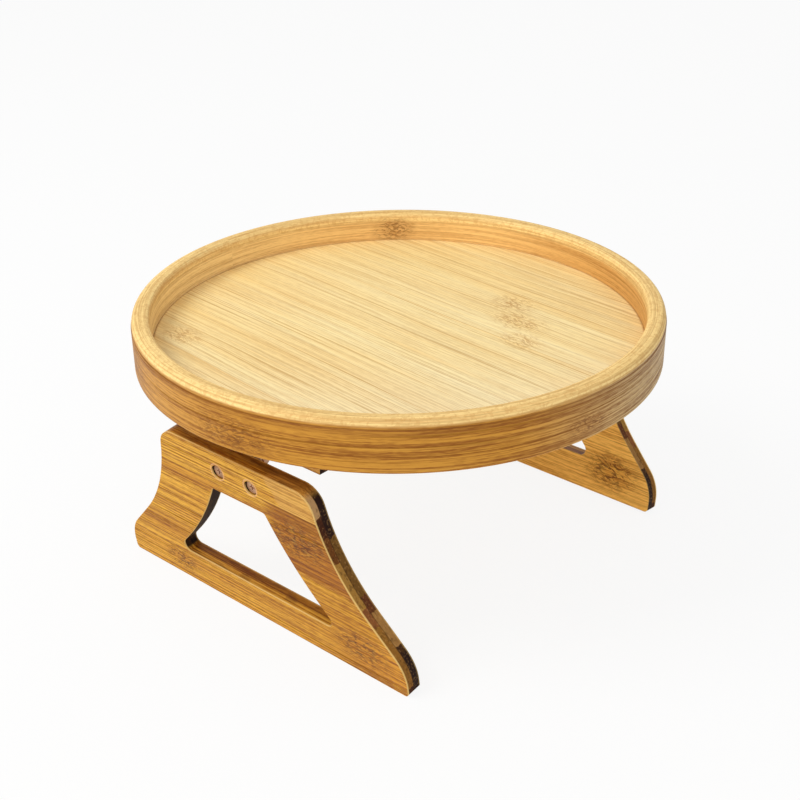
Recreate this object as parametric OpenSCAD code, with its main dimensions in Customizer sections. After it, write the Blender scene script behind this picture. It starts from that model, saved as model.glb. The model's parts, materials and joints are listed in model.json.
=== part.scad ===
/* [Tray] */
// Outer diameter of the round tray
tray_d = 254; // [220:1:300]
// Height of the tray's rim
tray_h = 24.3; // [20:0.1:40]
// Thickness of the rim's wall
rim_w = 9; // [8:0.5:14]
// Height of the tray's floor above the rim's lower edge
floor_top = 8.8; // [8:0.1:12]
// Thickness of the floor panel
floor_t = 6; // [5:0.5:7]
// How far the floor panel reaches under the rim
rebate_w = 3.5; // [2:0.5:5]
// Height by which the floor panel's face stands above its rebated edge
floor_step = 1.2; // [0.8:0.1:2]
// Radius of the round-over outside the lip
lip_out_r = 4.2; // [2:0.1:5]
// Radius of the round-over inside the lip
lip_in_r = 3; // [1:0.5:3.5]
// Depth of the turned line under the lip
lip_line = 0.4; // [0.2:0.1:0.8]
// Radius of the rim's lower outer edge
rim_foot_r = 0.8; // [0.4:0.1:1.5]

/* [Rails] */
// Distance from the rim's lower edge down to the rails' underside
rail_drop = 14.2; // [12:0.1:25]
// Width of a rail across the sofa arm
rail_w = 16.5; // [16.5:0.5:26]
// Length of a rail along the sofa arm
rail_l = 84; // [70:1:110]
// Distance between the two screws that hold a rail
rail_screw_pitch = 60; // [50:1:60]
// Distance from a hinge pin inwards to the rail's outer face
rail_set = 2.5; // [2.3:0.1:2.9]

/* [Legs] */
// Height of a leg board, measured along the board
leg_h = 91; // [80:1:120]
// Thickness of a leg board
leg_t = 8; // [7:0.5:12]
// Length of a leg board's straight foot
leg_foot = 183.5; // [160:0.5:210]
// Length of a leg board's top between its corners, before rounding
leg_top = 95; // [80:1:110]
// Radius of a leg board's top corners
leg_top_r = 10; // [4:0.5:14]
// Radius of a leg board's toes
toe_r = 22; // [8:0.5:24]
// Height of the toe's corner before rounding
toe_h = 14; // [10:0.5:18]
// Radius of the foot's lower corners
foot_r = 2; // [0.5:0.5:3]
// Lean of the legs towards the sofa arm
lean = 7.8; // [0:0.1:12]

/* [Leg cut-out] */
// Wood left below the cut-out
hole_low = 18; // [14:0.5:24]
// Wood left above the cut-out
hole_high = 22; // [19:0.5:28]
// Width of the cut-out at its top
hole_top = 34; // [24:1:44]
// Width of the cut-out at its foot, before rounding
hole_foot = 108; // [90:1:116]
// Radius of the cut-out's upper corners
hole_top_r = 2; // [1:0.5:4]
// Radius of the cut-out's lower corners
hole_foot_r = 3.5; // [1:0.5:4]

/* [Hinges] */
// Distance between the two hinge pins
hinge_span = 204.2; // [190:0.2:210]
// Length of a hinge leaf along the sofa arm
hinge_l = 32; // [30:0.5:40]
// Length of a hinge's barrel between its heads
barrel_l = 22; // [20:0.5:28]
// Width of a hinge leaf from the pin to its edge
leaf_w = 17.5; // [14.5:0.5:18]
// Thickness of a hinge leaf
leaf_t = 1.2; // [1:0.1:1.5]
// Outer radius of a knuckle
knuckle_r = 2.7; // [2.5:0.1:2.9]
// Radius of a hinge pin
pin_r = 1.5; // [1.2:0.1:1.6]
// Length of each of the two outer knuckles
end_knuckle = 5; // [4:0.5:6]
// Thickness of a friction washer
friction_t = 0.6; // [0.4:0.1:1]
// Distance from a leg's top edge down to the pin
pin_below_top = 1.9; // [1:0.1:1.9]
// Radial clearance of the pin in the turning knuckle
pin_clear = 0.05; // [0.02:0.01:0.1]

/* [Fasteners] */
// Distance between a leg's two bolts
bolt_pitch = 21.2; // [18:0.2:24]
// Distance from a leg's top edge down to its bolts
bolt_below_top = 10.8; // [10:0.1:12]
// Radius of a bolt's thread
bolt_r = 1.5; // [1.25:0.05:1.6]
// Radius of a bolt's head
bolt_head_r = 3.2; // [2.6:0.1:3.3]
// Height of a bolt's head
bolt_head_h = 2.4; // [1.8:0.1:2.4]
// How far a bolt's end stands out of its nut
bolt_out = 0.5; // [0.2:0.1:0.7]
// Radius of a bolt's washer
bolt_washer_r = 3.5; // [3.1:0.1:3.5]
// Thickness of a bolt's washer
bolt_washer_t = 0.5; // [0.4:0.1:0.7]
// Radius of a counterbore in a leg's outer face
bore_r = 3.7; // [3.6:0.1:4.5]
// Depth of a counterbore in a leg's outer face
bore_deep = 4; // [3.5:0.1:5]
// Width of a nut across its flats
nut_af = 5.5; // [5:0.1:6]
// Height of a nut
nut_h = 2.4; // [1.8:0.1:2.4]
// Radius of a wood screw's shank
screw_r = 1.5; // [1.25:0.05:1.75]
// Radius of a countersunk wood screw's head
screw_head_r = 2.7; // [2.4:0.1:3]
// Length of a leaf's wood screw
leaf_screw_l = 12; // [8:0.5:13]
// Length of a rail's wood screw
rail_screw_l = 16; // [12:0.5:20]
// Depth of the counterbore under a rail's screw
rail_bore_deep = 5; // [3:0.5:8]
// Depth of a screw's cross recess
drive_deep = 0.8; // [0.4:0.1:1]
// Length of each slot of a cross recess
drive_l = 3.2; // [2.4:0.1:3.6]
// Width of each slot of a cross recess
drive_w = 0.7; // [0.5:0.1:1]

/* [Hidden] */

$fn = 64;
// Facets round the tray
tray_facets = 120;
// Small gap between glued or seated wood and metal
seat = 0.1;
// Steps in each round stretch of an outline
arc_steps = 10;
// Overshoot that makes cuts go right through
past = 1;
// Ratio of a flank's radius to that of one arc from corner to toe
flank_ratio = 0.89;
hole_ratio = 0.95;
// Angle in degrees of a flank to the upright where it leaves the top corner
flank_angle = 10;
hole_angle = 26;
// Head of a hinge pin, peened over the end knuckle
pin_head_r = pin_r + 0.6;
pin_head_t = 0.8;
// Radial gap of the pin in the knuckles that hold it
pin_seat = 0.01;
// Gap on each face of a friction washer
washer_gap = 0.1;
// How far a friction washer's rim lies inside the knuckles
washer_inset = 0.2;
mid_knuckle = barrel_l - 2 * end_knuckle - 2 * (friction_t + 2 * washer_gap);
// Gap between a knuckle and what turns past it
turn_gap = 0.3;
// Corner radius of a leaf
leaf_corner = 3;
// Overlap of a leaf's set-off root with its plate
root_lap = 1;
// Room for a rail screw's head in its counterbore
head_room = 0.5;

tray_r = tray_d / 2;
rim_in_r = tray_r - rim_w;
leg_below_pin = leg_h - pin_below_top;
// The leaves' backs, and the wood behind them, pass the knuckles by the turning gap
leaf_back = knuckle_r + turn_gap;
// The foot's outer edge stands on the ground
pin_z = leg_below_pin * cos(lean) + (leaf_back + leg_t) * sin(lean);
pin_x = hinge_span / 2;
rail_z = pin_z + leaf_back;
tray_z = rail_z + rail_drop;
rail_h = rail_drop + floor_top - floor_t;
rail_x = pin_x - rail_set;
rail_mid = rail_x - rail_w / 2;
leaf_hole_x = bolt_below_top - pin_below_top;
bolt_wall = leg_t - bore_deep;
bolt_l = bolt_washer_t + bolt_wall + leaf_t + nut_h + bolt_out;

// Colours
bamboo_light = "#f0d49a";
bamboo_gold = "#d9a55c";
bamboo_amber = "#c98f45";
steel = "#b9bcc0";
zinc = "#d5d6d2";

// Points of a fillet of radius r at corner p, between the lines to a and b
function unit(v) = v / norm(v);
function fillet(a, p, b, r) =
    let (u = unit(a - p), w = unit(b - p), half = acos(u * w) / 2)
    let (c = p + unit(u + w) * r / sin(half), s = p + u * r / tan(half), e = p + w * r / tan(half))
    let (t0 = atan2(s[1] - c[1], s[0] - c[0]), t1 = atan2(e[1] - c[1], e[0] - c[0]))
    let (turn = (t1 - t0 + 540) % 360 - 180)
    [for (i = [0 : arc_steps]) c + r * [cos(t0 + turn * i / arc_steps), sin(t0 + turn * i / arc_steps)]];

// Hollow flank: an arc that leaves p at an angle, and the tangent from it to corner v
function flank(p, v, angle, ratio) =
    let (n = [cos(angle), sin(angle)], d = v - p, r = ratio * (d * d) / (2 * d * n))
    let (c = p + r * n, e = v - c, start = 180 + angle, stop = atan2(e[1], e[0]) + 360 - acos(r / norm(e)))
    [for (i = [0 : arc_steps]) let (t = start + (stop - start) * i / arc_steps) c + r * [cos(t), sin(t)]];

// Right half of an outline: top corner, hollow flank and the corners below it
function half_outline(top, high, top_r, angle, ratio, corner) =
    let (t = [top / 2, high], run = top_r * tan((90 - angle) / 2))
    let (p = t + run * [sin(angle), -cos(angle)])
    concat(fillet([0, high], t, p, top_r), flank(p, corner, angle, ratio));

function mirrored(pts) = concat(pts, [for (i = [len(pts) - 1 : -1 : 0]) [-pts[i][0], pts[i][1]]]);

// Outline of a leg board, with its foot on y = 0
function leg_outline() =
    let (toe = [leg_foot / 2, toe_h], foot = [leg_foot / 2, 0])
    let (side = half_outline(leg_top, leg_h, leg_top_r, flank_angle, flank_ratio, toe))
    mirrored(concat(side, fillet(side[len(side) - 1], toe, foot, toe_r), fillet(toe, foot, [0, 0], foot_r)));

// Outline of the finger hole through a leg board
function hole_outline() =
    let (foot = [hole_foot / 2, hole_low])
    let (side = half_outline(hole_top, leg_h - hole_high, hole_top_r, hole_angle, hole_ratio, foot))
    mirrored(concat(side, fillet(side[len(side) - 1], foot, [0, hole_low], hole_foot_r)));

// Places a piece drawn with the pin as origin, the rail inwards on +X and the leg down -Z
module at_hinge(side) {
    mirror([side > 0 ? 1 : 0, 0, 0])
        translate([-pin_x, 0, pin_z])
            children();
}

// The same, turned with the leaning leg
module at_leg(side) {
    at_hinge(side)
        rotate([0, -lean, 0])
            children();
}

// Two copies, a pitch apart along the sofa arm
module pair(pitch) {
    for (y = [-pitch / 2, pitch / 2])
        translate([0, y, 0])
            children();
}

// Profile of the turned rim, from its axis outwards
module rim_profile() {
    top = tray_h;
    difference() {
        union() {
            translate([rim_in_r, 0])
                square([lip_in_r, top - lip_in_r]);
            translate([rim_in_r + lip_in_r, 0])
                square([rim_w - lip_in_r - lip_out_r, top]);
            translate([tray_r - lip_out_r, 0])
                square([lip_out_r - rim_foot_r, top - lip_out_r]);
            translate([tray_r - rim_foot_r, rim_foot_r])
                square([rim_foot_r, top - lip_out_r - rim_foot_r]);
            translate([tray_r - rim_foot_r, rim_foot_r])
                circle(rim_foot_r);
            translate([rim_in_r + lip_in_r, top - lip_in_r])
                circle(lip_in_r);
            translate([tray_r - lip_out_r, top - lip_out_r])
                circle(lip_out_r);
        }
        translate([rim_in_r - past, -past])
            square([rebate_w + past, floor_top - floor_step + past]);
        translate([tray_r, top - lip_out_r])
            circle(lip_line);
    }
}

// Turned bamboo ring with a rounded lip
module tray_rim() {
    color(bamboo_gold)
        translate([0, 0, tray_z])
            rotate_extrude($fn = tray_facets)
                rim_profile();
}

// Glued-up bamboo panel, its edge rebated and let into the rim from below
module tray_floor() {
    color(bamboo_light)
        difference() {
            translate([0, 0, tray_z + floor_top - floor_t]) {
                cylinder(h = floor_t - floor_step, r = rim_in_r + rebate_w - seat, $fn = tray_facets);
                cylinder(h = floor_t, r = rim_in_r - seat, $fn = tray_facets);
            }
            rail_screw_cut();
        }
}

// Holes for the rail screws in rails and floor
module rail_screw_cut() {
    for (side = [-1, 1])
        translate([side * rail_mid, 0, rail_z])
            pair(rail_screw_pitch)
                cylinder(h = rail_bore_deep + rail_screw_l + seat, r = screw_r);
}

// Bamboo rail under the tray, with blind holes for the fixed leaf's screws
module rail(side) {
    color(bamboo_amber)
        difference() {
            at_hinge(side)
                translate([rail_set, -rail_l / 2, leaf_back])
                    cube([rail_w, rail_l, rail_h]);
            rail_screw_cut();
            translate([side * rail_mid, 0, rail_z - past])
                pair(rail_screw_pitch)
                    cylinder(h = rail_bore_deep + past, r = screw_head_r + head_room);
            at_hinge(side)
                translate([leaf_hole_x, 0, leaf_back - leaf_t])
                    pair(bolt_pitch)
                        cylinder(h = leaf_screw_l + seat, r = screw_r);
        }
}

// Round-headed wood screws that hold the rails to the floor
module rail_screws() {
    color(zinc)
        for (side = [-1, 1])
            translate([side * rail_mid, 0, rail_z + rail_bore_deep])
                pair(rail_screw_pitch)
                    difference() {
                        union() {
                            cylinder(h = rail_screw_l, r = screw_r - seat / 2);
                            translate([0, 0, -bolt_head_h])
                                cylinder(h = bolt_head_h, r = screw_head_r);
                        }
                        translate([0, 0, -bolt_head_h])
                            cross_recess();
                    }
}

// Cross recess of a screw head whose face is at z = 0, cut upwards
module cross_recess() {
    for (turn = [0, 90])
        rotate([0, 0, turn])
            translate([-drive_l / 2, -drive_w / 2, -past])
                cube([drive_l, drive_w, drive_deep + past]);
}

// A leg board in its own frame: pin at the origin, outer face towards -X
module leg(side) {
    color(bamboo_amber)
        at_leg(side)
            difference() {
                translate([-leaf_back - leg_t, 0, -leg_below_pin])
                    rotate([90, 0, 90])
                        linear_extrude(leg_t)
                            difference() {
                                polygon(leg_outline());
                                polygon(hole_outline());
                            }
                translate([-leaf_back, 0, -leaf_hole_x])
                    pair(bolt_pitch)
                        rotate([0, -90, 0]) {
                            translate([0, 0, -past])
                                cylinder(h = leg_t + 2 * past, r = bolt_r + seat);
                            translate([0, 0, bolt_wall])
                                cylinder(h = bore_deep + past, r = bore_r);
                        }
            }
}

// Tube of a knuckle from one end to the other along the pin
module knuckle(from, to, clear) {
    translate([0, from, 0])
        rotate([-90, 0, 0])
            difference() {
                cylinder(h = to - from, r = knuckle_r);
                translate([0, 0, -past])
                    cylinder(h = to - from + 2 * past, r = pin_r + clear);
            }
}

// Plate of a leaf with round outer corners and two holes, clear of the barrel
module leaf_plate() {
    start = knuckle_r + turn_gap;
    difference() {
        union() {
            translate([start, -hinge_l / 2, leaf_back - leaf_t])
                cube([leaf_w - leaf_corner - start, hinge_l, leaf_t]);
            translate([start, -hinge_l / 2 + leaf_corner, leaf_back - leaf_t])
                cube([leaf_w - start, hinge_l - 2 * leaf_corner, leaf_t]);
            for (end = [-1, 1])
                translate([leaf_w - leaf_corner, end * (hinge_l / 2 - leaf_corner), leaf_back - leaf_t])
                    cylinder(h = leaf_t, r = leaf_corner);
        }
        translate([leaf_hole_x, 0, leaf_back - leaf_t - past])
            pair(bolt_pitch)
                cylinder(h = leaf_t + 2 * past, r = screw_r + seat);
        children();
    }
}

// Set-off strip from a knuckle to its plate
module leaf_root(from, to) {
    difference() {
        translate([0, from, knuckle_r - leaf_t])
            cube([knuckle_r + turn_gap + root_lap, to - from, leaf_t]);
        translate([0, from - past, 0])
            rotate([-90, 0, 0])
                cylinder(h = to - from + 2 * past, r = pin_r + seat);
    }
}

// Fixed leaf under the rail, with the two outer knuckles
module rail_leaf(side) {
    color(steel)
        at_hinge(side) {
            leaf_plate()
                translate([leaf_hole_x, 0, leaf_back - leaf_t])
                    pair(bolt_pitch)
                        cylinder(h = leaf_t, r1 = screw_head_r + seat, r2 = screw_r + seat);
            for (end = [0, 1])
                mirror([0, end, 0]) {
                    leaf_root(barrel_l / 2 - end_knuckle, barrel_l / 2);
                    knuckle(barrel_l / 2 - end_knuckle, barrel_l / 2, pin_seat);
                }
        }
}

// Turning leaf on the leg's inner face, with the middle knuckle
module leg_leaf(side) {
    color(steel)
        at_leg(side)
            rotate([0, -90, 0])
                mirror([1, 0, 0]) {
                    leaf_plate();
                    leaf_root(-mid_knuckle / 2, mid_knuckle / 2);
                    knuckle(-mid_knuckle / 2, mid_knuckle / 2, pin_clear);
                }
}

// Pin with peened heads
module hinge_pin(side) {
    color(zinc)
        at_hinge(side)
            rotate([-90, 0, 0]) {
                translate([0, 0, -barrel_l / 2])
                    cylinder(h = barrel_l, r = pin_r);
                for (end = [0, 1])
                    mirror([0, 0, end])
                        translate([0, 0, barrel_l / 2])
                            cylinder(h = pin_head_t, r1 = pin_head_r, r2 = pin_r);
            }
}

// Spring washers that make the hinge stiff to turn
module friction_washers(side) {
    color("dimgray")
        at_hinge(side)
            for (end = [0, 1])
                mirror([0, end, 0])
                    translate([0, mid_knuckle / 2 + washer_gap, 0])
                        rotate([-90, 0, 0])
                            difference() {
                                cylinder(h = friction_t, r = knuckle_r - washer_inset);
                                translate([0, 0, -past])
                                    cylinder(h = friction_t + 2 * past, r = pin_r + pin_clear);
                            }
}

// Countersunk wood screws that hold the fixed leaf to the rail
module leaf_screws(side) {
    color(zinc)
        at_hinge(side)
            translate([leaf_hole_x, 0, leaf_back - leaf_t])
                pair(bolt_pitch)
                    difference() {
                        union() {
                            cylinder(h = leaf_t, r1 = screw_head_r, r2 = screw_r - seat / 2);
                            cylinder(h = leaf_screw_l, r = screw_r - seat / 2);
                        }
                        cross_recess();
                    }
}

// Places a fastener on a leg bolt's axis, its face at z = 0 outwards
module on_bolts(side, out) {
    at_leg(side)
        translate([-leaf_back - out, 0, -leaf_hole_x])
            pair(bolt_pitch)
                rotate([0, -90, 0])
                    children();
}

// Bolts let into the leg's outer face
module leg_bolts(side) {
    color(zinc)
        on_bolts(side, bolt_wall + bolt_washer_t)
            difference() {
                union() {
                    cylinder(h = bolt_head_h, r = bolt_head_r);
                    translate([0, 0, -bolt_l])
                        cylinder(h = bolt_l + past, r = bolt_r - seat / 2);
                }
                translate([0, 0, bolt_head_h])
                    mirror([0, 0, 1])
                        cross_recess();
            }
}

// Washers under the bolt heads
module bolt_washers(side) {
    color(zinc)
        on_bolts(side, bolt_wall)
            difference() {
                cylinder(h = bolt_washer_t, r = bolt_washer_r);
                translate([0, 0, -past])
                    cylinder(h = bolt_washer_t + 2 * past, r = bolt_r + seat);
            }
}

// Nuts on the turning leaf
module leg_nuts(side) {
    color(zinc)
        on_bolts(side, -leaf_t - nut_h)
            difference() {
                cylinder(h = nut_h, r = nut_af / sqrt(3), $fn = 6);
                translate([0, 0, -past])
                    cylinder(h = nut_h + 2 * past, r = bolt_r);
            }
}

tray_rim();
tray_floor();
rail(-1);  // left_rail
rail(1);  // right_rail
rail_screws();
leg(-1);  // left_leg
leg(1);  // right_leg
rail_leaf(-1);  // left_rail_leaf
rail_leaf(1);  // right_rail_leaf
leg_leaf(-1);  // left_leg_leaf
leg_leaf(1);  // right_leg_leaf
hinge_pin(-1);  // left_hinge_pin
hinge_pin(1);  // right_hinge_pin
friction_washers(-1);  // left_friction_washers
friction_washers(1);  // right_friction_washers
leaf_screws(-1);  // left_leaf_screws
leaf_screws(1);  // right_leaf_screws
leg_bolts(-1);  // left_leg_bolts
leg_bolts(1);  // right_leg_bolts
bolt_washers(-1);  // left_bolt_washers
bolt_washers(1);  // right_bolt_washers
leg_nuts(-1);  // left_leg_nuts
leg_nuts(1);  // right_leg_nuts
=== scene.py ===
# %% [markdown]
# # A bamboo tray for a sofa's arm
#
# The real thing is a round tray of pale bamboo with a bent rim. Two darker leg boards hang from it
# on small steel hinges and stand astride the arm of a sofa. The engineering model already gives
# every piece its true size and place. This script dresses that model: it softens the edges that
# sandpaper would soften, paints bamboo and steel with shader nodes, and lights the tray for a
# product picture. All lengths are metres.

# %% Load the frame
import math

import bpy
from mathutils import Matrix, Vector
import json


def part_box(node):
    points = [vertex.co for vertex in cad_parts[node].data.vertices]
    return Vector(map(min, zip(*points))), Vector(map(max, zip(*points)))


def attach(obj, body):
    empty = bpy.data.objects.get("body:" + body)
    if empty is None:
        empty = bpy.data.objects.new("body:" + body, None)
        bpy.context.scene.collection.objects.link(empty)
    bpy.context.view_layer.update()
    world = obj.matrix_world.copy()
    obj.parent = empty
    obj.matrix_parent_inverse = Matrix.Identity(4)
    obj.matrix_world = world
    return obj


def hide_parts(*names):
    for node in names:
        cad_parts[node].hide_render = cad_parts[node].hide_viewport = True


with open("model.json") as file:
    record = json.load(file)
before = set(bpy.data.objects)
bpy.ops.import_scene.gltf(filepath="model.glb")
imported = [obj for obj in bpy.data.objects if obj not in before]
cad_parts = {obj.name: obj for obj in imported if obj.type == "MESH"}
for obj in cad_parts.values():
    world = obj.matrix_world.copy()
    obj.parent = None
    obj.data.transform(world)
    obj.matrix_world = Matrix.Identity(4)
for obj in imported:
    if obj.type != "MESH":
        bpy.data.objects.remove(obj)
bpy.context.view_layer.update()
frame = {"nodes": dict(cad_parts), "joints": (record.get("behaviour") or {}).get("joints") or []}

MM = 0.001

# %% [markdown]
# ## The sizes that everything else follows
#
# A dressed piece must sit exactly where its engineering twin sits. The box round each node gives
# the rim's radius and height, the floor's height and the bolts' places. A hinge at its lower limit
# holds its leg board level, so that limit gives the lean.

# %% Measure the frame
rim_low, rim_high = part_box("tray_rim")
floor_low, floor_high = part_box("tray_floor")
bolts_low, bolts_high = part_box("left_leg_bolts")
rim_radius = rim_high.x
tray_low = rim_low.z
tray_top = rim_high.z
floor_top = floor_high.z
left_fold = {joint["name"]: joint for joint in frame["joints"]}["left_leg_fold"]
pin_place = Vector(left_fold["pos_m"])
lean = math.radians(90 + left_fold["range_deg"][0])
print("rim radius", round(rim_radius, 4), "lean", round(math.degrees(lean), 2))

# %% [markdown]
# A box doesn't show how thick a wall is or how deep a rebate. These few sizes are the engineering
# model's own, and each is typed once.

# %% Sizes that no box shows
rim_wall = 9 * MM
rim_inside = rim_radius - rim_wall
lip_out = 4.2 * MM  # the rounding on the outside of the lip
lip_in = 3.0 * MM  # the rounding on the inside of the lip
scored_line = tray_top - lip_out
floor_step = 1.2 * MM  # from the panel's rebated edge up to its face
rebate_top = floor_top - floor_step
rebate_side = rim_inside + 3.5 * MM
board_back = 3 * MM  # from the hinge pin's middle to the board's inner face
board_thick = 8 * MM
ply_thick = board_thick / 2
board_high = 91 * MM
board_below_pin = 89.1 * MM
bolt_head = 3.2 * MM
bolt_apart = bolts_high.y - bolt_head  # from the board's middle to either bolt
bolt_up = (bolts_low.z + bolts_high.z) / 2
board_foot = Vector((pin_place.x, 0, pin_place.z)) + Vector((
    -(board_back + board_thick) * math.cos(lean) + board_below_pin * math.sin(lean), 0,
    -(board_back + board_thick) * math.sin(lean) - board_below_pin * math.cos(lean)))
print("outer edge of the left foot", board_foot)

# %% [markdown]
# ## Helpers for working by hand
#
# Blender's operators act on whatever is selected. Small helpers keep that tidy: one makes a single
# object active with nothing else selected, one runs a block of work in edit mode, and one selects
# faces, edges or vertices by a rule.

# %% Selection and edit mode
def only(piece):
    bpy.ops.object.select_all(action="DESELECT")
    piece.select_set(True)
    bpy.context.view_layer.objects.active = piece


class editing:
    """Edit mode on one piece, with everything in it selected, or nothing."""

    def __init__(self, piece, select="SELECT"):
        self.piece = piece
        self.select = select

    def __enter__(self):
        only(self.piece)
        bpy.ops.object.mode_set(mode="EDIT")
        bpy.ops.mesh.select_all(action=self.select)

    def __exit__(self, *problem):
        bpy.ops.object.mode_set(mode="OBJECT")


def pick(piece, wanted, part="faces"):
    """Selects the faces, edges or vertices for which wanted(element) is true."""
    bpy.ops.object.mode_set(mode="OBJECT")
    mesh = piece.data
    for group in (mesh.vertices, mesh.edges, mesh.polygons):
        for element in group:
            element.select = False
    chosen, kind = {"faces": (mesh.polygons, "FACE"), "edges": (mesh.edges, "EDGE"),
                    "vertices": (mesh.vertices, "VERT")}[part]
    for element in chosen:
        if wanted(element):
            element.select = True
    bpy.ops.object.mode_set(mode="EDIT")
    bpy.ops.mesh.select_mode(type=kind)

# %% Finishing a piece
def place_in_mesh(piece):
    only(piece)
    bpy.ops.object.transform_apply(location=True, rotation=True, scale=True)


def use(piece, kind, **settings):
    """Adds a modifier with its settings and applies it at once."""
    only(piece)
    modifier = piece.modifiers.new(kind.title(), kind)
    for name, value in settings.items():
        setattr(modifier, name, value)
    bpy.ops.object.modifier_apply(modifier=modifier.name)


def smooth(piece, degrees):
    """Smooth shading that keeps wide faces flat and lets only the narrow bevels turn."""
    only(piece)
    bpy.ops.object.shade_smooth_by_angle(angle=math.radians(degrees))
    use(piece, "WEIGHTED_NORMAL", keep_sharp=True)


def report(piece):
    print(f"{piece.name}: {len(piece.data.polygons)} faces")

# %% [markdown]
# ## Writing shaders as sums
#
# Bamboo is a sum of many small effects. Wiring each sum by hand would bury the idea, so a thin
# class wraps a socket and lets Python's own operators add the Math nodes.

# %% A shader socket that can be added and multiplied
class Value:
    def __init__(self, paint, socket):
        self.paint = paint
        self.socket = socket

    def _math(self, operation, *others):
        return self.paint.add("ShaderNodeMath", {"operation": operation},
                              dict(enumerate((self,) + others)))

    def __add__(self, other):
        return self._math("ADD", other)

    def __radd__(self, other):
        return self + other

    def __sub__(self, other):
        return self._math("SUBTRACT", other)

    def __rsub__(self, other):
        return self.paint.add("ShaderNodeMath", {"operation": "SUBTRACT"}, {0: other, 1: self})

    def __mul__(self, other):
        return self._math("MULTIPLY", other)

    def __rmul__(self, other):
        return self * other

    def __truediv__(self, other):
        return self._math("DIVIDE", other)

    def __rtruediv__(self, other):
        return self.paint.add("ShaderNodeMath", {"operation": "DIVIDE"}, {0: other, 1: self})

    def __neg__(self):
        return self * -1.0

    def __abs__(self):
        return self._math("ABSOLUTE")

    def floor(self):
        return self._math("FLOOR")

    def root(self):
        return self._math("SQRT")

    def higher(self, other):
        return self._math("MAXIMUM", other)

    def above(self, low, high):
        """0 below low, 1 above high, and a smooth rise between them. It falls if low is the larger."""
        return self.paint.add("ShaderNodeMapRange", {"interpolation_type": "SMOOTHSTEP"},
                              {"Value": self, "From Min": low, "From Max": high})

    def near(self, middle, reach):
        """1 at middle, fading to 0 at a distance of reach."""
        return abs(self - middle).above(reach, 0.0)

    def between(self, low, high, soft=0.4 * MM):
        """1 between low and high, with soft ends."""
        return self.above(low - soft, low + soft) * self.above(high + soft, high - soft)

# %% [markdown]
# Every node comes from one method, which takes the node's kind, its settings, and the values or
# links of its sockets. A Mix node lists its sockets for numbers, for vectors and for colours one
# after another, so the ones for colours go by their place in that list.

# %% A material or a world, painted node by node
MIX_SHARE, MIX_FIRST, MIX_SECOND, MIX_RESULT = 0, 6, 7, 2


class Paint:
    """The nodes of a material or a world, added one call at a time."""

    def __init__(self, owner):
        self.owner = owner
        owner.use_nodes = True
        self.tree = owner.node_tree
        self.tree.nodes.clear()

    def add(self, kind, settings=None, inputs=None, out=0):
        """Adds a node: its settings first, then the values or links of its sockets."""
        node = self.tree.nodes.new(kind)
        for name, value in (settings or {}).items():
            if name in ("stops", "steps"):
                node.color_ramp.interpolation = "LINEAR" if name == "stops" else "CONSTANT"
                self._stops(node.color_ramp, value)
            else:
                setattr(node, name, value)
        for name, value in (inputs or {}).items():
            socket = node.inputs[name]
            if isinstance(value, Value):
                self.tree.links.new(value.socket, socket)
            else:
                socket.default_value = (*value, 1.0) if socket.type == "RGBA" else value
        return Value(self, node.outputs[out]) if node.outputs else None

    def _stops(self, ramp, stops):
        while len(ramp.elements) < len(stops):
            ramp.elements.new(1.0)
        for element, (place, tint) in zip(ramp.elements, stops):
            element.position = place
            element.color = (*tint, 1.0)

    def place(self):
        """The x, y and z of the point, in the piece."""
        return self.parts(self.add("ShaderNodeTexCoord", out="Object"))

    def facing(self):
        """The x, y and z of the way that the surface faces, in the piece."""
        return self.parts(self.add("ShaderNodeTexCoord", out="Normal"))

    def parts(self, vector):
        first = self.add("ShaderNodeSeparateXYZ", None, {0: vector})
        return [Value(self, output) for output in first.socket.node.outputs]

    def vector(self, x, y, z=0.0):
        return self.add("ShaderNodeCombineXYZ", None, {"X": x, "Y": y, "Z": z})

    def noise(self, vector, detail=2.0, roughness=0.5, distortion=0.0):
        return self.add("ShaderNodeTexNoise", None, {
            "Vector": vector, "Scale": 1.0, "Detail": detail, "Roughness": roughness,
            "Distortion": distortion})

    def dice(self, x, y, z):
        """Three random numbers from 0 to 1 that stay the same for the same whole numbers."""
        return self.parts(self.add("ShaderNodeTexWhiteNoise", {"noise_dimensions": "3D"},
                                   {"Vector": self.vector(x, y, z)}, out="Color"))

    def blend(self, first, second, share, kind="MIX"):
        """Mixes two colours by share, or multiplies and so on."""
        return self.add("ShaderNodeMix", {"data_type": "RGBA", "blend_type": kind},
                        {MIX_SHARE: share, MIX_FIRST: first, MIX_SECOND: second}, out=MIX_RESULT)

    def ramp(self, value, *stops):
        return self.add("ShaderNodeValToRGB", {"stops": stops}, {"Fac": value})

    def steps(self, value, *stops):
        """A ramp with hard edges: each colour runs unchanged up to the next stop."""
        return self.add("ShaderNodeValToRGB", {"steps": stops}, {"Fac": value})

    def finish(self, tint, rough, height, depth, coat=0.0, **fixed):
        """The surface shader. Constants go on its own sockets."""
        bump = self.add("ShaderNodeBump", None,
                        {"Height": height, "Strength": 1.0, "Distance": depth}, out="Normal")
        sockets = {"Base Color": tint, "Roughness": rough, "Coat Weight": coat, "Normal": bump}
        for name, value in fixed.items():
            sockets[name.replace("_", " ")] = value
        shader = self.add("ShaderNodeBsdfPrincipled", None, sockets)
        self.add("ShaderNodeOutputMaterial", None, {"Surface": shader})
        return self.owner


def new_paint(name):
    """The paint of a new material."""
    return Paint(bpy.data.materials.new(name))


def colour(red, green, blue):
    """A colour as a screen shows it, 0 to 255, turned into the light it stands for."""
    def light(level):
        level /= 255
        return level / 12.92 if level <= 0.04045 else ((level + 0.055) / 1.055) ** 2.4
    return (light(red), light(green), light(blue))

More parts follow.
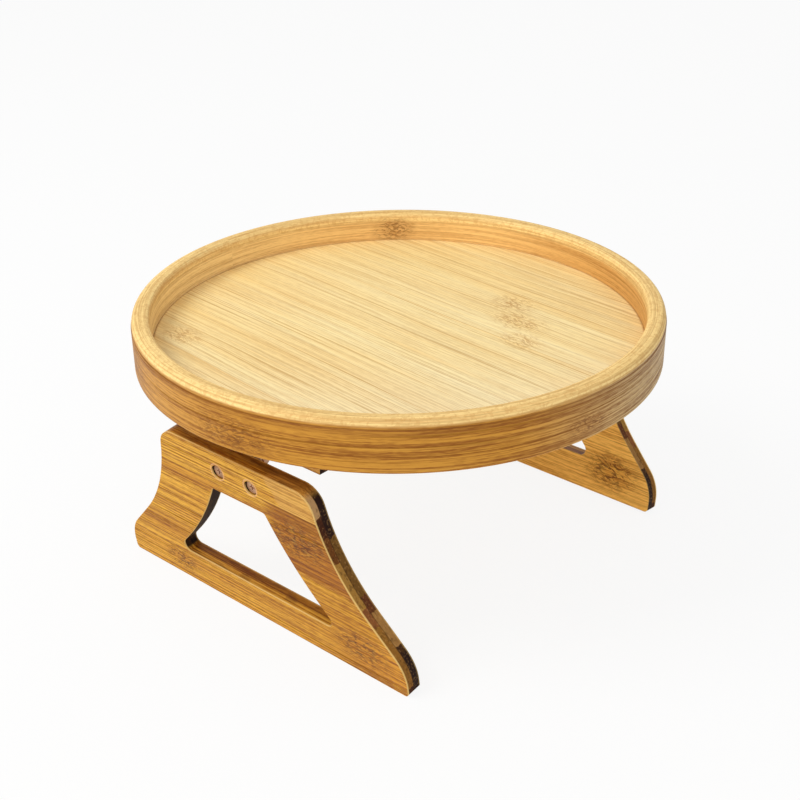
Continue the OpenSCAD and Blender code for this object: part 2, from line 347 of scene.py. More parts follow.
# %% [markdown]
# ## Bamboo
#
# A bamboo board is glued up from strips, about 25 mm wide in the floor and the legs. Each strip
# keeps its own tone, and its fibres never cross the glue line. Four scales of streak run along it:
# broad soft bands, fibres about a millimetre wide or less, short flecks two thirds as wide, and a
# few long dark pores. Where the cane had a joint, the strip shows a node, a patch of short curly
# strokes.
#
# One function paints all of it from three lengths: along the fibres, across the strips and
# through the thickness. Each board only says which way its fibres run, and hands in a list of
# washes, soft stains that lie under the grain.

# %% Grain that every bamboo face shares
BANDS = (4.0, 120.0)  # how often a metre each streak changes, along the fibres and across them
FIBRES = (14.0, 900.0)
FLECKS = (200.0, 1300.0)
PORES = (6.0, 700.0)
GLUE_STRAY = 0.05  # how far a glue line strays, as a share of a strip's width


def strips_of(paint, along, across, through, width, first, seed, plies):
    """Three random numbers for the strip that a point lies in, and the strip's glue line."""
    thick, shift = plies
    ply = (through / thick).floor()
    wander = paint.noise(paint.vector(along * 6.0, ply, seed), detail=1.0)
    cells = (across - first) / width + ply * shift + (wander - 0.5) * GLUE_STRAY
    strip = cells.floor()
    glue = abs(cells - strip - 0.5).above(0.480, 0.499)
    return paint.dice(strip, ply, seed), glue


def streaks(paint, place, slide, rates, detail, roughness=0.6, coarse=1.0):
    """Noise drawn out along the fibres. A larger coarse makes the streaks wider."""
    along, across, through = place
    long, wide = rates[0], rates[1] / coarse
    return paint.noise(paint.vector(along * long + slide, across * wide, through * wide),
                       detail=detail, roughness=roughness)


def fibres_of(paint, place, slide, coarse):
    """Fibres, short flecks and sparse dark pores, all 0 to 1."""
    fine = streaks(paint, place, slide, FIBRES, 2.0, coarse=coarse)
    flecks = streaks(paint, place, slide, FLECKS, 1.0, coarse=coarse)
    long = streaks(paint, place, slide, PORES, 1.0, coarse=coarse)
    return fine.above(0.36, 0.64), flecks.above(0.34, 0.66), long.above(0.60, 0.68)

# %% [markdown]
# ### Nodes
#
# A node is an oval patch, given by its middle and its half length and half width. Inside it the
# grain is mapped along slants. Two that cross carry the dark strokes, which curl and cross as they
# do on real bamboo. A third, nearly straight, carries a few pale ones.

# %% Node strokes
STROKES = (230.0, 900.0)  # how often a metre they change, along the strokes and across them
SLANTS = ((0.42, 0.0), (-0.32, 3.7), (0.08, 8.1))  # each slope, and a shift that sets it apart


def node_patch(along, across, nodes):
    """1 inside the nodes' ovals, fading out round them. None for a face without nodes."""
    patch = None
    for middle_along, middle_across, half_long, half_wide in nodes:
        off_long = (along - middle_along) / half_long
        off_wide = (across - middle_across) / half_wide
        spot = (off_long * off_long + off_wide * off_wide).root().above(1.2, 0.2)
        patch = spot if patch is None else patch.higher(spot)
    return patch


def node_strokes(paint, along, across, through, fine):
    """Short curved strokes, dark ones and pale ones. A larger fine makes them smaller."""
    long, wide = STROKES
    strokes = []
    for slope, shift in SLANTS:
        u = (along + across * slope) * (long * fine) + shift
        v = (across - along * slope) * (wide * fine)
        curl = paint.noise(paint.vector(u, v, through * 200.0),
                           detail=2.0, roughness=0.55, distortion=0.5)
        strokes.append(curl.above(0.54, 0.61))
    return strokes[0].higher(strokes[1]), strokes[2]

# %% The bamboo recipe
FIBRE_SHADE = colour(172, 140, 92)
WHITE = colour(255, 255, 255)
PALE_STROKES = 0.15
GLUE_LINES = 0.30


def bamboo(paint, along, across, through, tones, width, first, seed, fibre, pores,
           plies=(1.0, 0.0), nodes=(), washes=(), variety=0.35, coarse=1.0, node_depth=0.8,
           node_shade=0.30, node_fine=1.0, banding=0.55):
    """Colour, height and pores of a bamboo face. tones is (light, middle, dark, pore)."""
    light, middle, dark, pore = tones
    (tone, shift, warmth), glue = strips_of(paint, along, across, through, width, first, seed, plies)
    place = (along, across, through)
    slide = shift * 9.0
    bands = streaks(paint, place, slide, BANDS, 2.0, roughness=0.5)
    fine, flecks, long = fibres_of(paint, place, slide, coarse)
    base = bands.above(0.25, 0.75) * banding + (tone - 0.5) * variety + (0.5 - banding / 2)
    stain = paint.ramp(base, (0.05, light), (0.45, middle), (0.95, dark))
    stain = paint.blend(stain, dark, warmth * (variety * 0.4))
    for mask, tint, share in washes:
        stain = paint.blend(stain, tint, mask * share)
    patch = node_patch(along, across, nodes)
    if patch is not None:
        stain = paint.blend(stain, dark, patch * node_shade)
    grain = paint.ramp(fine * 0.68 + flecks * 0.32, (0.05, FIBRE_SHADE), (0.80, WHITE))
    stain = paint.blend(stain, grain, fibre, "MULTIPLY")
    stain = paint.blend(stain, pore, long * pores)
    height = fine * 0.5 + flecks * 0.2 - long * 0.5
    if patch is not None:
        inked, pale = node_strokes(paint, along, across, through, node_fine)
        stain = paint.blend(stain, pore, inked * patch * node_depth)
        stain = paint.blend(stain, light, pale * patch * PALE_STROKES)
        height = height - inked * patch * 0.8
    stain = paint.blend(stain, pore, glue * GLUE_LINES)
    return stain, height, long

# %% [markdown]
# ### End grain
#
# Where the saw crosses the fibres the board soaks up varnish and goes dark, and the block colours
# also hold painted shade, as these faces turn away from the lamp. The cut shows two plies side by
# side, each a column of blocks, and each block is the end of one strip with its own brown. A ramp
# with hard steps gives each ply its blocks, from the foot upwards.

# %% End grain of a two-ply board
PALE_DOT = colour(206, 158, 96)
DARK_PIT = colour(30, 10, 4)
PLY_SEAM = colour(40, 20, 8)


def end_blocks(paint, across, through, along, outer, inner):
    """The sawn end of a leg board. outer and inner list each ply's blocks from the foot up."""
    ragged = paint.noise(paint.vector(along * 120.0, across * 120.0, through * 500.0), detail=1.0)
    level = across / board_high + (ragged - 0.5) * 0.03
    split = through.above(ply_thick - 0.15 * MM, ply_thick + 0.15 * MM)
    blocks = paint.blend(paint.steps(level, *outer), paint.steps(level, *inner), split)
    dots = paint.noise(paint.vector(along * 90.0, across * 1000.0, through * 1000.0), detail=2.0)
    pits = paint.noise(paint.vector(along * 90.0 + 5.0, across * 520.0, through * 900.0), detail=2.0)
    blocks = paint.blend(blocks, PALE_DOT, dots.above(0.54, 0.66) * 0.16)
    blocks = paint.blend(blocks, DARK_PIT, pits.above(0.52, 0.66) * 0.40)
    seam = through.near(ply_thick, 0.35 * MM)
    return paint.blend(blocks, PLY_SEAM, seam * 0.6)

# %% [markdown]
# ### Varnish
#
# The tray is varnished satin. A principled shader with a thin clear coat gives the soft highlight,
# and the pores stay a little duller than the wood between them.

# %% Varnished wood
SATIN = 0.50  # how rough the wood is between the pores
COAT = 0.07
GRAIN_DEPTH = 0.05 * MM


def varnished(paint, stain, height, dull):
    return paint.finish(stain, dull * 0.3 + SATIN, height, GRAIN_DEPTH,
                        coat=(1.0 - dull) * COAT, Coat_Roughness=0.3, Specular_IOR_Level=0.16)

# %% [markdown]
# ## Floor panel
#
# The floor is a flat panel of pale strips. It is painted more orange at the far side, painted
# shade, and paler towards the front, painted light. Its fibres run a few degrees off the line of
# the legs and bend a little. Three node patches in a row cross the strips right of the middle, and
# a fourth lies at the left edge. A dark hairline, painted shade, marks where the panel meets the
# wall.

# %% Floor colours and places
floor_tones = (colour(255, 240, 190), colour(255, 231, 168), colour(248, 208, 130),
               colour(186, 132, 62))
floor_nodes = ((-22 * MM, 62 * MM, 15 * MM, 12 * MM), (-38 * MM, 47 * MM, 18 * MM, 12 * MM),
               (-54 * MM, 31 * MM, 14 * MM, 10 * MM), (66 * MM, -78 * MM, 15 * MM, 10 * MM))
floor_turn = math.radians(5.0)

# %% Paint the floor panel
def floor_bamboo():
    paint = new_paint("bamboo_floor")
    x, y, z = paint.place()
    bend = paint.noise(paint.vector(x * 9.0, y * 7.0, 2.0), detail=1.0) * (5 * MM)
    along = y * math.cos(floor_turn) + x * math.sin(floor_turn)
    across = x * math.cos(floor_turn) - y * math.sin(floor_turn) + bend
    radius = (x * x + y * y).root()
    # Painted shade makes the far side more orange, and painted light (near) makes the front paler.
    far = (x + y).above(-20 * MM, 150 * MM)
    patches = paint.noise(paint.vector(x * 26.0, y * 11.0, 4.0), detail=2.0).above(0.35, 0.75)
    near = (x + y).above(-30 * MM, -150 * MM)
    washes = ((far, colour(255, 222, 148), 0.50), (patches, colour(246, 208, 138), 0.40),
              (near, colour(255, 246, 210), 0.40))
    stain, height, pores = bamboo(paint, along, across, z, floor_tones, width=23 * MM,
                                  first=4 * MM, seed=3.0, fibre=0.34, pores=0.46,
                                  nodes=floor_nodes, washes=washes, variety=0.26, coarse=0.68,
                                  node_depth=0.62, node_fine=0.9, banding=0.42)
    # Painted shade: a dark hairline in the crease where the panel meets the wall.
    seam = radius.above(rim_inside - 1.4 * MM, rim_inside - 0.1 * MM)
    stain = paint.blend(stain, colour(170, 112, 46), seam * 0.7)
    return varnished(paint, stain, height, pores)

# %% [markdown]
# ## Rim
#
# The rim is a strip of bamboo bent into a hoop, so its fibres run round and round. On the wall
# they show as level lines, on the lip as rings. The angle round the tray, times the radius, is the
# length along the fibres. That length jumps at the far side, where the bent strip's two ends are
# scarfed together, so the grain breaks there as it does on a real hoop. The hoop is one strip
# high. Its inside is paler and calmer than its outside. The lip is calmer too, and painted paler,
# painted light falling on its top. The outside is painted warmer at the left, painted light from
# the lamp there, and greyer at the right, painted shade. The inside is painted lighter at the left
# and darker at the right. The scored line and a band under the lip carry painted shade.

# %% Rim colours and places
def round_rim(degrees):
    """The length along the hoop at an angle from the x axis."""
    return math.radians(degrees + 90) * rim_radius


rim_tones = (colour(228, 172, 88), colour(202, 142, 50), colour(166, 102, 24), colour(108, 60, 12))
rim_nodes = ((round_rim(-172), 8 * MM, 26 * MM, 10 * MM),
             (round_rim(42.5), 15 * MM, 14 * MM, 8 * MM),
             (round_rim(-100), 7 * MM, 14 * MM, 6 * MM),
             (round_rim(-210), 11 * MM, 17 * MM, 8 * MM))

# %% Paint the rim
def rim_bamboo():
    paint = new_paint("bamboo_rim")
    x, y, z = paint.place()
    angle = paint.add("ShaderNodeMath", {"operation": "ARCTAN2"}, {0: x, 1: -y})
    radius = (x * x + y * y).root()
    along = angle * rim_radius
    level = z - tray_low
    lip_inside = radius.above(rim_inside + 4 * MM, rim_inside + 3 * MM) * level.above(18 * MM, 21 * MM)
    lip = level.above(20.6 * MM, 22.0 * MM).higher(lip_inside)
    inside = radius.above(rim_inside + 2.2 * MM, rim_inside + 0.8 * MM)
    outside = radius.above(rim_radius - 2 * MM, rim_radius - 1 * MM)
    left = y - x
    right = x - y
    # Painted light and shade: the outside warmer at the left, towards the lamp, and greyer at the
    # right; the inside lighter at the left and darker at the right.
    washes = ((outside * left.above(90 * MM, 165 * MM), colour(218, 164, 84), 0.4),
              (outside * right.above(50 * MM, 150 * MM), colour(202, 176, 128), 0.80),
              (inside, colour(254, 211, 137), 0.90),
              (inside * left.above(20 * MM, 150 * MM), colour(255, 222, 154), 0.85),
              (inside * right.above(70 * MM, 165 * MM), colour(216, 162, 88), 0.85),
              # The lip: painted paler, painted light falling on its top.
              (lip, colour(255, 222, 150), 0.90))
    calm = inside.higher(lip)
    stain, height, pores = bamboo(paint, along, level, radius, rim_tones, width=200 * MM,
                                  first=-50 * MM, seed=11.0, fibre=0.90 - calm * 0.42,
                                  pores=0.42 - calm * 0.26, nodes=rim_nodes, washes=washes,
                                  variety=0.2, banding=0.30, coarse=0.82, node_depth=0.65)
    skin = radius.above(rim_radius - 1.2 * MM, rim_radius - 0.4 * MM)
    line = scored_line - tray_low
    # Painted shade in the scored line, and a painted shadow on the band under the lip.
    groove_shade = level.near(line, 0.7 * MM) * skin
    under_lip_shadow = level.near(line - 1.7 * MM, 2.0 * MM) * skin
    turnings = paint.noise(paint.vector(along * 2.5, level * 900.0, radius * 900.0), detail=1.0)
    rings = turnings.above(0.52, 0.64) * level.above(19.5 * MM, 21 * MM)
    curls = paint.noise(paint.vector(x * 420.0, y * 420.0, z * 420.0), detail=2.0, distortion=1.2)
    stain = paint.blend(stain, colour(120, 70, 20), groove_shade * 0.65)
    stain = paint.blend(stain, colour(132, 78, 22), under_lip_shadow * 0.28)
    stain = paint.blend(stain, colour(202, 148, 80), lip * curls.above(0.50, 0.60) * 0.32)
    stain = paint.blend(stain, colour(190, 128, 60), rings * 0.28)
    return varnished(paint, stain, height, pores.higher(lip * 0.7))

# %% [markdown]
# ## Leg boards
#
# The legs are a darker, carbonised bamboo in two plies of strips. Their fibres run level. The
# board leans, so the strips are counted along the lean. Strip ends and node patches lie where the
# picture shows them on the left leg. The arrises are pale, partly from sanding and partly a painted
# highlight where the rounded edge catches light. The counterbores have a pale burr where the drill
# lifted the fibres, and painted shade darkens their upper walls. The narrow sides are darker, partly
# their own edge grain and partly painted shade, most on the inner ply under the tray, and the inner
# face is painted lighter, painted light where the tray shades it. Painted shade makes the sawn ends
# inside the cut-out nearly black. The right board is the left one's mirror image.

# %% Leg colours and places
leg_tones = (colour(255, 210, 98), colour(236, 178, 58), colour(190, 122, 18), colour(96, 50, 4))
leg_nodes = ((-36 * MM, 62 * MM, 24 * MM, 14 * MM), (-67 * MM, 15 * MM, 19 * MM, 12 * MM),
             (54 * MM, 10 * MM, 14 * MM, 8 * MM))
# Block colours of the sawn ends: dark end grain with painted shade in it.
outer_ply = ((0.0, colour(70, 36, 12)), (0.05, colour(132, 88, 32)), (0.34, colour(124, 72, 38)),
             (0.42, colour(156, 114, 50)), (0.63, colour(104, 60, 20)), (0.76, colour(66, 30, 10)),
             (0.87, colour(176, 138, 94)))
inner_ply = ((0.0, colour(34, 14, 6)), (0.24, colour(146, 106, 58)), (0.39, colour(92, 48, 22)),
             (0.46, colour(108, 74, 28)), (0.75, colour(36, 14, 6)), (0.99, colour(110, 74, 28)))
top_strip_low = 77.5 * MM  # the lower edge of the strip along the board's top, up from the foot
top_strip_high = 95 * MM  # above the board, so that the strip reaches the top edge
top_strip_end = -20.5 * MM  # where that strip ends along the board

# %% [markdown]
# Which part of the board a point belongs to comes from the way it faces. A wide face looks through
# the board, an end looks along the fibres, and what is left is a narrow side.

# %% Masks and stains of a leg board
def leg_parts(paint, side, through):
    """Masks of the wide faces, the sawn ends, the narrow sides, and the arrises, which get wear and a
    painted highlight.
    """
    turn_x, turn_y, turn_z = paint.facing()
    flat = abs(turn_x * (-side * math.cos(lean)) + turn_z * math.sin(lean))
    end = abs(turn_y).above(0.40, 0.80) * flat.above(0.75, 0.5)
    narrow = flat.above(0.5, 0.2) * (1.0 - end)
    outer_edge = through.above(1.0 * MM, 0.5 * MM)
    inner_edge = through.above(board_thick - 0.8 * MM, board_thick - 0.4 * MM)
    arris_wear_and_highlight = outer_edge.higher(inner_edge * 0.35) * flat.above(0.998, 0.94)
    return flat, end, narrow, arris_wear_and_highlight


def leg_washes(paint, y, across, through, narrow, right_arm, top_strip, painted_lit_inner_face):
    cloudy = paint.noise(paint.vector(y * 90.0, across * 300.0, through * 300.0), detail=2.0)
    inner_side = through.above(ply_thick - 0.2 * MM, ply_thick + 0.2 * MM)
    darker_strip = across.between(66 * MM, 73 * MM) * y.above(4 * MM, 12 * MM)
    toe = across.between(4 * MM, 24 * MM) * y.above(-40 * MM, -70 * MM)
    return ((across.between(44 * MM, top_strip_low) * right_arm, colour(168, 96, 8), 0.80),
            (darker_strip, colour(186, 118, 20), 0.45),
            (top_strip, colour(222, 170, 90), 0.65),
            (toe, colour(206, 128, 30), 0.40),
            # The inner face: painted lighter, painted light where the tray shades it.
            (painted_lit_inner_face, colour(255, 197, 98), 0.95),
            # The narrow sides: darker, partly their edge-grain tone and partly painted shade; the inner
            # ply, under the tray, gets more painted shade.
            (narrow, colour(168, 104, 28), 0.60),
            (narrow * inner_side, colour(110, 56, 10), 0.55),
            (narrow * cloudy.above(0.50, 0.62), colour(92, 46, 10), 0.40))


def bore_burr_and_shade(paint, stain, y, z, flat):
    """A pale burr round each counterbore, and painted shade on the upper wall inside it."""
    off_y = abs(y) - bolt_apart
    off_z = z - bolt_up
    from_bolt = (off_y * off_y + off_z * off_z).root()
    burr = from_bolt.near(4.2 * MM, 0.6 * MM) * flat.above(0.9, 0.97)
    wall = from_bolt.above(4.0 * MM, 3.6 * MM) * flat.above(0.6, 0.3)
    stain = paint.blend(stain, colour(240, 184, 138), burr * 0.55)
    # Painted shade on the upper half of the counterbore's wall.
    return paint.blend(stain, colour(60, 22, 10), wall * off_z.above(-1.5 * MM, 1.5 * MM) * 0.9)

# %% Paint a leg board
def leg_bamboo(side):
    """The bamboo of the left board, for a side of -1, or of the right one, for a side of 1."""
    paint = new_paint(("left", "right")[side > 0] + "_bamboo_leg")
    x, y, z = paint.place()
    off_x = x * -side - board_foot.x
    off_z = z - board_foot.z
    across = off_x * -math.sin(lean) + off_z * math.cos(lean)
    through = off_x * math.cos(lean) + off_z * math.sin(lean)
    flat, end, narrow, arris_wear_and_highlight = leg_parts(paint, side, through)
    right_arm = y.between(-75 * MM, -20 * MM, 6 * MM)
    # The inner face, which gets painted light in the washes.
    painted_lit_inner_face = through.above(board_thick - 1.0 * MM, board_thick - 0.2 * MM)
    ragged = paint.noise(paint.vector(y * 60.0, across * 260.0, 7.0), detail=2.0)
    scarf = y + (board_below_pin - across) * 0.6 + (ragged - 0.5) * (6 * MM)
    top_strip = (across.between(top_strip_low, top_strip_high, 0.2 * MM)
                 * scarf.above(top_strip_end, top_strip_end - 2 * MM))
    washes = leg_washes(paint, y, across, through, narrow, right_arm, top_strip, painted_lit_inner_face)
    stain, height, pores = bamboo(paint, y, across, through, leg_tones, width=26 * MM,
                                  first=-5 * MM, seed=20.0,
                                  fibre=1.0 - top_strip * 0.3 - painted_lit_inner_face * 0.25,
                                  pores=0.48 - top_strip * 0.3, plies=(ply_thick, 0.0),
                                  nodes=leg_nodes, washes=washes, variety=0.30, banding=0.35,
                                  coarse=0.82, node_depth=0.85, node_shade=0.55)
    dark_line = leg_tones[3]
    under_strip = across.between(top_strip_low - 1.7 * MM, top_strip_low - 0.2 * MM, 0.3 * MM)
    stain = paint.blend(stain, dark_line, under_strip * right_arm * 0.30)
    stain = paint.blend(stain, dark_line, through.near(ply_thick, 0.35 * MM) * narrow * 0.5)
    cuts = end_blocks(paint, across, through, y, outer_ply, inner_ply)
    # Painted shade: the sawn ends inside the cut-out go nearly black.
    cut_out_shade = (abs(y) + across * 0.55).above(80 * MM, 76 * MM)
    cuts = paint.blend(cuts, colour(20, 4, 2), cut_out_shade * 0.9)
    stain = paint.blend(stain, cuts, end)
    # The arrises: pale from sanding wear, and a painted highlight where the rounded edge catches light.
    stain = paint.blend(stain, colour(252, 212, 132), arris_wear_and_highlight * 0.72)
    stain = bore_burr_and_shade(paint, stain, y, z, flat)
    return varnished(paint, stain, height, pores.higher(end))

# %% [markdown]
# ## Rails
#
# The rails are offcuts of the same board under the tray. Their long sides are honey coloured, and
# their sawn ends are nearly black, partly dark end grain and partly painted shade under the tray.

# %% Paint the rails
rail_tones = (colour(238, 188, 112), colour(222, 166, 84), colour(186, 124, 50), colour(120, 70, 22))


def rail_bamboo():
    paint = new_paint("bamboo_rail")
    x, y, z = paint.place()
    end = abs(paint.facing()[1]).above(0.45, 0.85)
    stain, height, pores = bamboo(paint, y, z, x, rail_tones, width=9 * MM, first=0.0, seed=31.0,
                                  fibre=0.6, pores=0.4, plies=(board_thick, 0.5))
    dots = paint.noise(paint.vector(y * 90.0, z * 1300.0, x * 1300.0), detail=2.0)
    # The sawn end: dark end grain with painted shade under the tray.
    cut = paint.blend(colour(30, 12, 6), colour(84, 46, 22), dots.above(0.5, 0.7) * 0.6)
    stain = paint.blend(stain, cut, end)
    return varnished(paint, stain, height, pores.higher(end))

# %% [markdown]
# ## Metal
#
# The hinges, their screws and the bolts in the legs have a dull bronze plate, its tone darker and
# lighter in soft clouds. Fine scratches run along the leaf, and they move only the roughness and
# the bump. The hidden wood screws, washers and nuts are zinc plated, a cloudier and slightly blue
# white. The spring washers in the hinges are blued, nearly black.

# %% Paint the metals
CLOUDS = 180.0  # how often a metre the plate's tone changes
SCRATCH_DEPTH = 0.006 * MM


def metal(name, tint, cloud_tint, rough, scratch):
    paint = new_paint(name)
    x, y, z = paint.place()
    cloud = paint.noise(paint.vector(x * CLOUDS, y * CLOUDS, z * CLOUDS), detail=3.0)
    lines = paint.noise(paint.vector(x * 5200.0, y * 160.0, z * 5200.0), detail=2.0)
    stain = paint.blend(tint, cloud_tint, cloud.above(0.35, 0.7))
    return paint.finish(stain, lines * scratch + cloud * 0.10 + rough, lines, SCRATCH_DEPTH,
                        Metallic=1.0)


bronze = metal("bronze_plate", colour(206, 168, 138), colour(156, 118, 92), 0.38, 0.20)
zinc = metal("bright_zinc", colour(214, 216, 218), colour(184, 188, 196), 0.20, 0.10)
blued = metal("blued_spring_steel", colour(70, 72, 80), colour(44, 44, 52), 0.30, 0.10)

# %% Mix the woods
wood_floor = floor_bamboo()
wood_rim = rim_bamboo()
wood_legs = {-1: leg_bamboo(-1), 1: leg_bamboo(1)}
wood_rail = rail_bamboo()
print("materials", [m.name for m in (bronze, zinc, blued, wood_floor, wood_rim, wood_rail)])

# %% [markdown]
# ## The rim, turned as on a lathe
#
# The rim's section is drawn once as a flat face, its corners are rounded, and it is spun round
# the tray's axis. Drawing the section by hand leaves room for the small things that catch light:
# the round lip, the scored line under it and the broken lower edge.

# %% Helpers for the rim's section
def rim_section():
    """A flat face in the XZ plane, as wide as the rim's wall and as high as the rim."""
    height = tray_top - tray_low
    bpy.ops.object.select_all(action="DESELECT")
    bpy.ops.mesh.primitive_plane_add(size=1)
    section = bpy.context.object
    section.name = "rim_hoop"
    section.rotation_euler = (math.pi / 2, 0, 0)
    section.scale = (rim_wall, height, 1)
    section.location = (rim_radius - rim_wall / 2, 0, tray_low + height / 2)
    place_in_mesh(section)
    return section


def cut(section, place, normal):
    with editing(section):
        bpy.ops.mesh.bisect(plane_co=place, plane_no=normal)


def corner(section, x, z, radius, segments):
    """Rounds the one corner of the section that lies at x, z."""
    with editing(section, "DESELECT"):
        pick(section, lambda v: abs(v.co.x - x) + abs(v.co.z - z) < 0.05 * MM, "vertices")
        bpy.ops.mesh.bevel(offset=radius, offset_type="OFFSET", segments=segments, affect="VERTICES")

# %% Draw the rim's section
UPWARDS, OUTWARDS = (0, 0, 1), (1, 0, 0)
line_depth = 0.35 * MM
line_half = 0.05 * MM
line_slope = 0.4 * MM  # from the middle of the scored line down to where the wall is whole

rim = rim_section()
cut(rim, (0, 0, rebate_top), UPWARDS)
cut(rim, (rebate_side, 0, 0), OUTWARDS)
with editing(rim, "DESELECT"):
    pick(rim, lambda f: f.center.x < rebate_side and f.center.z < rebate_top)
    bpy.ops.mesh.delete(type="FACE")
for level in (scored_line - line_slope, scored_line - line_half, scored_line + line_half):
    cut(rim, (0, 0, level), UPWARDS)
with editing(rim, "DESELECT"):
    pick(rim, lambda v: abs(v.co.z - scored_line) < line_half + 0.01 * MM
         and v.co.x > rim_radius - 0.1 * MM, "vertices")
    bpy.ops.transform.translate(value=(-line_depth, 0, 0))
with editing(rim):
    bpy.ops.mesh.dissolve_faces()
corner(rim, rim_radius, tray_top, lip_out - line_depth, 12)
corner(rim, rim_inside, tray_top, lip_in, 9)
corner(rim, rim_radius, tray_low, 0.8 * MM, 4)
corner(rim, rebate_side, tray_low, 0.5 * MM, 2)
corner(rim, rim_inside, rebate_top, 0.25 * MM, 2)
print("points in the section", len(rim.data.vertices))

# %% Spin the rim
SPIN_STEPS = 288

with editing(rim):
    bpy.ops.mesh.delete(type="ONLY_FACE")
with editing(rim):
    bpy.ops.mesh.spin(steps=SPIN_STEPS, angle=2 * math.pi, center=(0, 0, 0), axis=(0, 0, 1))
with editing(rim):
    bpy.ops.mesh.remove_doubles(threshold=0.005 * MM)
with editing(rim):
    bpy.ops.mesh.normals_make_consistent(inside=False)
smooth(rim, 40)
rim.data.materials.append(wood_rim)
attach(rim, "tray")
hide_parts("tray_rim")
report(rim)

# %% [markdown]
# ## The floor panel
#
# The panel is a disc with a rebated edge. A cylinder is added at its size, its upper edge is set
# down by a step and the visible arris is broken a quarter of a millimetre, as glass paper leaves
# it, so a fine shadow runs where floor and wall meet. Rings inset in the face keep its shading
# flat.

# %% Model the floor panel
ARRIS = 0.25 * MM
FACE_RINGS = (20 * MM, 30 * MM, 30 * MM)


def floor_panel():
    bpy.ops.object.select_all(action="DESELECT")
    bpy.ops.mesh.primitive_cylinder_add(
        vertices=SPIN_STEPS, radius=floor_high.x, depth=floor_high.z - floor_low.z - floor_step,
        location=(0, 0, (floor_high.z + floor_low.z - floor_step) / 2))
    panel = bpy.context.object
    panel.name = "floor_board"
    place_in_mesh(panel)
    with editing(panel, "DESELECT"):
        pick(panel, lambda f: f.normal.z > 0.9)
        bpy.ops.mesh.inset(thickness=floor_high.x - (rim_inside - 0.1 * MM))
        bpy.ops.mesh.extrude_region_move(TRANSFORM_OT_translate={"value": (0, 0, floor_step)})
    with editing(panel, "DESELECT"):
        pick(panel, lambda e: all(
            panel.data.vertices[i].co.z > floor_top - 0.01 * MM for i in e.vertices), "edges")
        bpy.ops.mesh.bevel(offset=ARRIS, segments=2)
    with editing(panel, "DESELECT"):
        pick(panel, lambda f: f.normal.z > 0.9 and f.area > 1e-4)
        for ring in FACE_RINGS:
            bpy.ops.mesh.inset(thickness=ring)
    return panel


panel = floor_panel()
smooth(panel, 30)
panel.data.materials.append(wood_floor)
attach(panel, "tray")
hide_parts("tray_floor")
report(panel)

# %% [markdown]
# ## Softened copies
#
# Legs, rails and hinge parts already have their exact outline in the engineering model, with
# edges as sharp as a drawing. Real edges are sanded or tumbled. A copy of the mesh is merged, its
# flat areas are joined, and every sharp edge is rounded by a bevel of the right width.

# %% Copy a node with soft edges
def softened(node, name, body, width, segments, material, sharp=30):
    """A copy of a node, rounded wherever two faces meet at more than sharp degrees."""
    source = frame["nodes"][node]
    piece = source.copy()
    piece.data = source.data.copy()
    piece.name = name
    piece.parent = None
    for key in list(piece.keys()):
        del piece[key]
    bpy.context.scene.collection.objects.link(piece)
    piece.data.materials.clear()
    with editing(piece):
        bpy.ops.mesh.customdata_custom_splitnormals_clear()
        bpy.ops.mesh.remove_doubles(threshold=0.002 * MM)
        bpy.ops.mesh.dissolve_limited(angle_limit=math.radians(0.6))
    use(piece, "BEVEL", width=width, segments=segments, limit_method="ANGLE",
        angle_limit=math.radians(sharp), use_clamp_overlap=True)
    smooth(piece, sharp)
    piece.data.materials.append(material)
    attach(piece, body)
    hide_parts(node)
    report(piece)

# %% Boards, rails, hinges and fasteners
for side, word in ((-1, "left"), (1, "right")):
    swing = word + "_leg_swing"
    softened(word + "_leg", word + "_leg_board", swing, 1.1 * MM, 3, wood_legs[side])
    softened(word + "_rail", word + "_rail_block", "tray", 0.5 * MM, 2, wood_rail)
    softened(word + "_rail_leaf", word + "_upper_leaf", "tray", 0.15 * MM, 2, bronze)
    softened(word + "_leg_leaf", word + "_lower_leaf", swing, 0.15 * MM, 2, bronze)
    softened(word + "_hinge_pin", word + "_hinge_rivet", "tray", 0.12 * MM, 2, bronze)
    softened(word + "_friction_washers", word + "_spring_washers", "tray", 0.08 * MM, 2, blued)
    softened(word + "_leaf_screws", word + "_leaf_wood_screws", "tray", 0.08 * MM, 2, bronze)
    softened(word + "_leg_bolts", word + "_machine_bolts", swing, 0.3 * MM, 3, bronze,
             sharp=50)
    softened(word + "_bolt_washers", word + "_plain_washers", swing, 0.08 * MM, 2, zinc)
    softened(word + "_leg_nuts", word + "_hex_nuts", swing, 0.2 * MM, 2, zinc)
softened("rail_screws", "rail_wood_screws", "tray", 0.15 * MM, 2, zinc)

# %% [markdown]
# ## Studio
#
# Product pictures of this kind are cut out on white. Floor and world show as white to the camera
# and in mirrors or glass, but the floor still takes the tray's shadow, so the tray doesn't float.
# A wide soft lamp at the upper left is the key, and the dimmer light that the world really gives
# fills the shadows.

# %% Floor and world
FLOOR_SIZE = 8.0
FLOOR_PAINT = (0.86, 0.86, 0.85)
FLOOR_GLOW = 0.88  # the share of the floor's look that is plain white. The rest takes the shadow
WORLD_LIGHT = 0.66


def background_rays(paint):
    """1 for the rays that see the plain white: the camera's, and those that metal or glass sends on."""
    camera_ray, glossy, transmitted = [
        paint.add("ShaderNodeLightPath", out=name)
        for name in ("Is Camera Ray", "Is Glossy Ray", "Is Transmission Ray")]
    return camera_ray.higher(glossy).higher(transmitted)


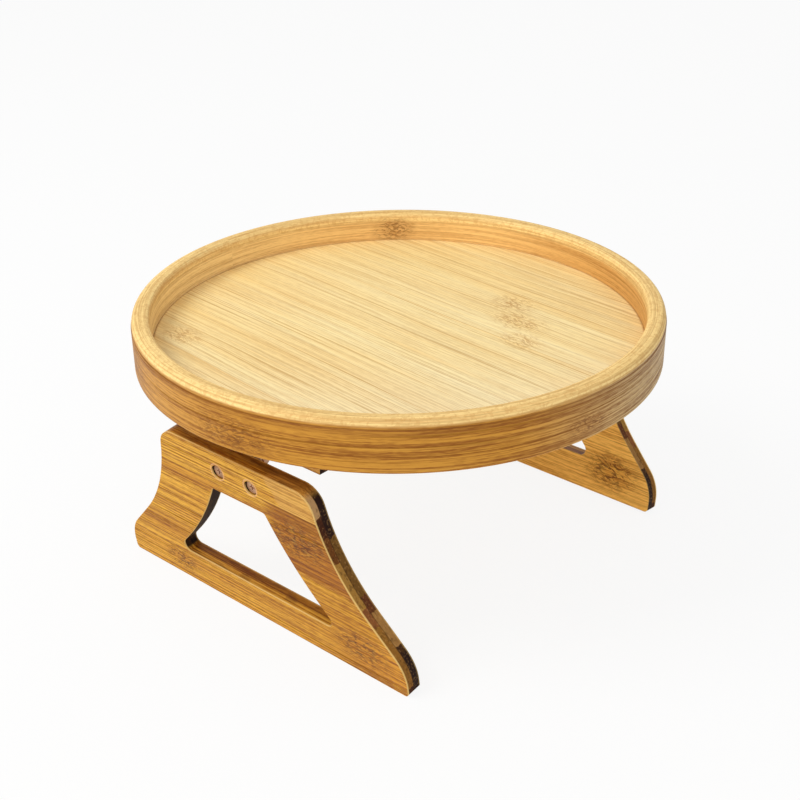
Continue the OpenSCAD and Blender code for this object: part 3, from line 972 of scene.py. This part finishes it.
def studio_floor():
    bpy.ops.object.select_all(action="DESELECT")
    bpy.ops.mesh.primitive_grid_add(x_subdivisions=4, y_subdivisions=4, size=FLOOR_SIZE)
    ground = bpy.context.object
    ground.name = "studio_floor"
    paint = new_paint("studio_white")
    diffuse = paint.add("ShaderNodeBsdfDiffuse", None, {"Color": FLOOR_PAINT})
    glow = paint.add("ShaderNodeEmission", None, {"Color": WHITE, "Strength": 1.0})
    mixed = paint.add("ShaderNodeMixShader", None,
                      {0: background_rays(paint) * FLOOR_GLOW, 1: diffuse, 2: glow})
    paint.add("ShaderNodeOutputMaterial", None, {"Surface": mixed})
    ground.data.materials.append(paint.owner)


def studio_world():
    world = bpy.data.worlds.new("studio")
    bpy.context.scene.world = world
    paint = Paint(world)
    light = paint.add("ShaderNodeBackground", None, {"Color": WHITE, "Strength": WORLD_LIGHT})
    shown = paint.add("ShaderNodeBackground", None, {"Color": WHITE, "Strength": 1.0})
    mixed = paint.add("ShaderNodeMixShader", None, {0: background_rays(paint), 1: light, 2: shown})
    paint.add("ShaderNodeOutputWorld", None, {"Surface": mixed})


studio_floor()
studio_world()

# %% Lamps
TRAY_MIDDLE = (0, 0, 0.08)


def softbox(name, place, size, power):
    """A soft rectangular lamp that points at the middle of the tray."""
    data = bpy.data.lights.new(name, "AREA")
    data.shape = "RECTANGLE"
    data.size, data.size_y = size
    data.energy = power
    lamp = bpy.data.objects.new(name, data)
    bpy.context.scene.collection.objects.link(lamp)
    lamp.location = place
    aim = Vector(TRAY_MIDDLE) - Vector(place)
    lamp.rotation_euler = aim.to_track_quat("-Z", "Y").to_euler()


softbox("key", (-0.90, 0.58, 1.32), size=(0.8, 0.8), power=12.8)
softbox("low_front", (-1.15, -0.95, 0.32), size=(0.7, 0.35), power=4.0)

# %% [markdown]
# ## Camera
#
# The camera stands where the picture was taken: about 0.7 m from the tray, a little above it and
# off one corner. Its place, its turn and its lens come from fitting the two rim circles and the
# leg's straight edges.

# %% Camera
camera_place = (-0.44385, -0.39078, 0.38170)
heading = math.radians(48.65)
tilt = math.radians(27.41)
roll = math.radians(-0.71)
sensor_width = 36.0  # millimetres, as the lens is
lens = 60.08

camera_data = bpy.data.cameras.new("camera")
camera = bpy.data.objects.new("camera", camera_data)
bpy.context.scene.collection.objects.link(camera)
camera_data.sensor_width = sensor_width
camera_data.lens = lens
camera_data.clip_start = 0.01
camera.matrix_world = (
    Matrix.Translation(camera_place)
    @ Matrix.Rotation(-heading, 4, "Z")
    @ Matrix.Rotation(math.pi / 2 - tilt, 4, "X")
    @ Matrix.Rotation(roll, 4, "Z"))
bpy.context.scene.camera = camera
bpy.context.scene.view_settings.view_transform = "Standard"
print("camera at", [round(v, 4) for v in camera.location])

# %% [markdown]
# ## The tray's size
#
# Dressing must not change the tray's size.

# %% Import json
import json
